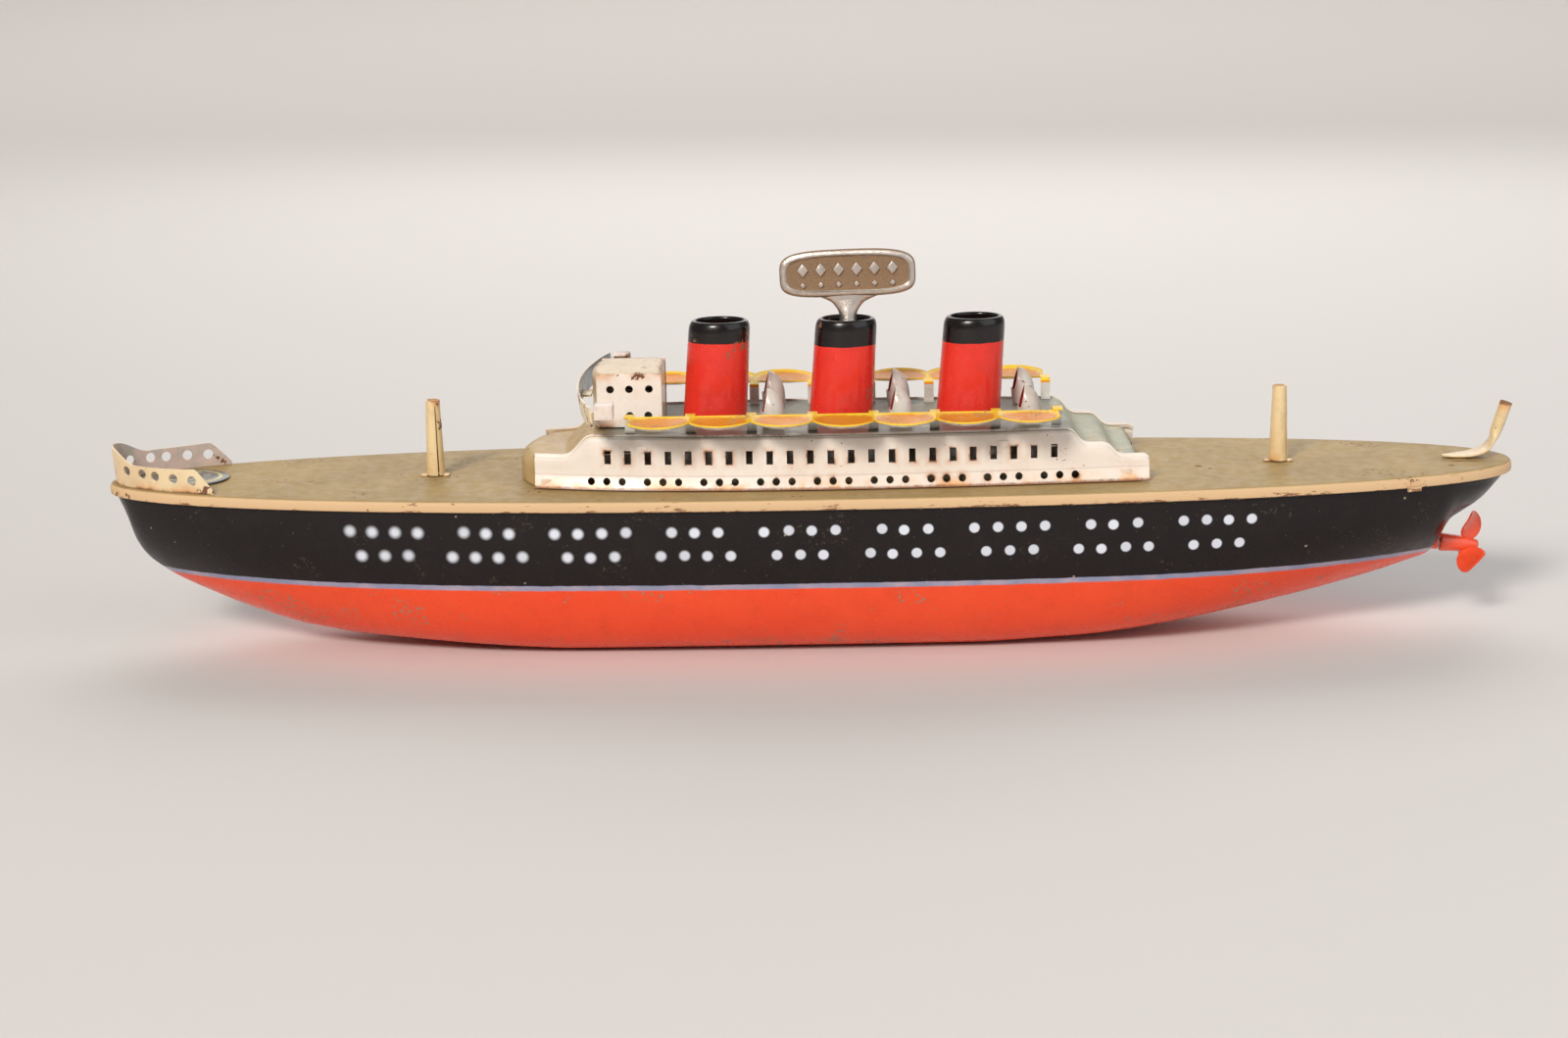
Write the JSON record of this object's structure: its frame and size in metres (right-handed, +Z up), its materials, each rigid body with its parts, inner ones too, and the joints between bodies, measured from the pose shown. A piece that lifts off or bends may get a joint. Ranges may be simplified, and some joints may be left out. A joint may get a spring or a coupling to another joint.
{
  "type": "clockwork toy ocean liner",
  "caption": "Tinplate clockwork toy liner: two-part pressed hull, deck with deckhouse, lifeboats and raked funnels, a propeller on a shaft, and a lift-off winding key over the gear train.",
  "frame": {"origin": "middle of the bounding box at its lowest height, on the surface the hull rests on", "axes": "+X from the bow to the stern, +Y to starboard, +Z up"},
  "size_m": [0.3097, 0.062, 0.0861],
  "materials": {
    "hull_enamel": "gloss enamel on tinplate: black topsides with white portholes, lilac-grey waterline, orange-red bottom, chipped",
    "deck_enamel": "khaki gloss enamel, lighter bead, rust freckles",
    "white_enamel": "warm white enamel, rust stains round the holes and edges",
    "grey_enamel": "grey enamel, khaki at the front and greenish aft",
    "lifeboat_enamel": "yellow-orange enamel inside, grey-white outside",
    "cream_enamel": "cream enamel, rusty ends",
    "badge_print": "dark enamel with a plain ring",
    "funnel_enamel": "red gloss enamel, glossy black top",
    "cowl_enamel": "grey-white enamel, red inside",
    "propeller_enamel": "orange-red enamel",
    "steel": "plain steel",
    "brass": "plain brass",
    "spring_steel": "blued spring steel",
    "cast_key": "nickel-plated casting, brown patina in the recess"
  },
  "bodies": {
    "hull": {"starboard_hull_half": "hull_enamel", "port_hull_half": "hull_enamel", "deck": "deck_enamel", "starboard_house_wall": "white_enamel", "port_house_wall": "white_enamel", "house_roof": "grey_enamel", "starboard_lifeboats": "lifeboat_enamel", "port_lifeboats": "lifeboat_enamel", "bridge_cover": "deck_enamel", "starboard_bridge_side": "white_enamel", "port_bridge_side": "white_enamel", "bridge_wing_screen": "cream_enamel", "starboard_wing_cab": "white_enamel", "port_wing_cab": "white_enamel", "funnel_fore": "funnel_enamel", "funnel_middle": "funnel_enamel", "funnel_aft": "funnel_enamel", "starboard_ventilator_fore": "cowl_enamel", "starboard_ventilator_middle": "cowl_enamel", "starboard_ventilator_aft": "cowl_enamel", "port_ventilator_fore": "cowl_enamel", "port_ventilator_middle": "cowl_enamel", "port_ventilator_aft": "cowl_enamel", "fore_mast": "cream_enamel", "aft_mast": "cream_enamel", "flagstaff": "cream_enamel", "bow_rail": "cream_enamel", "foredeck_plate": "badge_print", "stern_tube": "propeller_enamel", "motor_bottom_plate": "steel", "motor_top_plate": "steel", "pillar_port_fore": "steel", "pillar_starboard_fore": "steel", "pillar_port_aft": "steel", "pillar_starboard_aft": "steel", "motor_hanger_starboard": "steel", "motor_hanger_port": "steel", "mainspring": "spring_steel", "shaft_bearing": "steel"},
    "propeller_shaft_set": {"propeller": "propeller_enamel", "propeller_shaft": "steel", "shaft_pinion": "steel"},
    "crown_arbor": {"crown_wheel": "brass", "intermediate_pinion": "steel", "intermediate_arbor": "steel"},
    "great_wheel": {"great_wheel": "brass"},
    "winding_arbor": {"winding_arbor": "steel", "click_star": "steel"},
    "winding_key": {"winding_key": "cast_key"}
  },
  "joints": [
    {"name": "propeller_spin", "type": "hinge", "parent": "hull", "child": "propeller_shaft_set", "pos_m": [0.1462, 0, 0.0174], "axis": [0.9945, 0, -0.1045], "continuous": true},
    {"name": "crown_spin", "type": "hinge", "parent": "hull", "child": "crown_arbor", "pos_m": [0.0268, 0, 0.025], "axis": [0, 0, 1], "continuous": true},
    {"name": "great_wheel_spin", "type": "hinge", "parent": "hull", "child": "great_wheel", "pos_m": [0.0088, 0, 0.023], "axis": [0, 0, 1], "continuous": true},
    {"name": "winding_turn", "type": "hinge", "parent": "hull", "child": "winding_arbor", "pos_m": [0.0088, 0, 0.02], "axis": [0, 0, 1], "range_deg": [-1440, 720]},
    {"name": "key_lift", "type": "slide", "parent": "winding_arbor", "child": "winding_key", "axis": [0, 0, 1], "range_m": [0, 0.03]}
  ],
  "couplings": [
    {"joint": "crown_spin", "follows": "propeller_spin", "ratio": 0.33333},
    {"joint": "great_wheel_spin", "follows": "propeller_spin", "ratio": -0.083333}
  ]
}
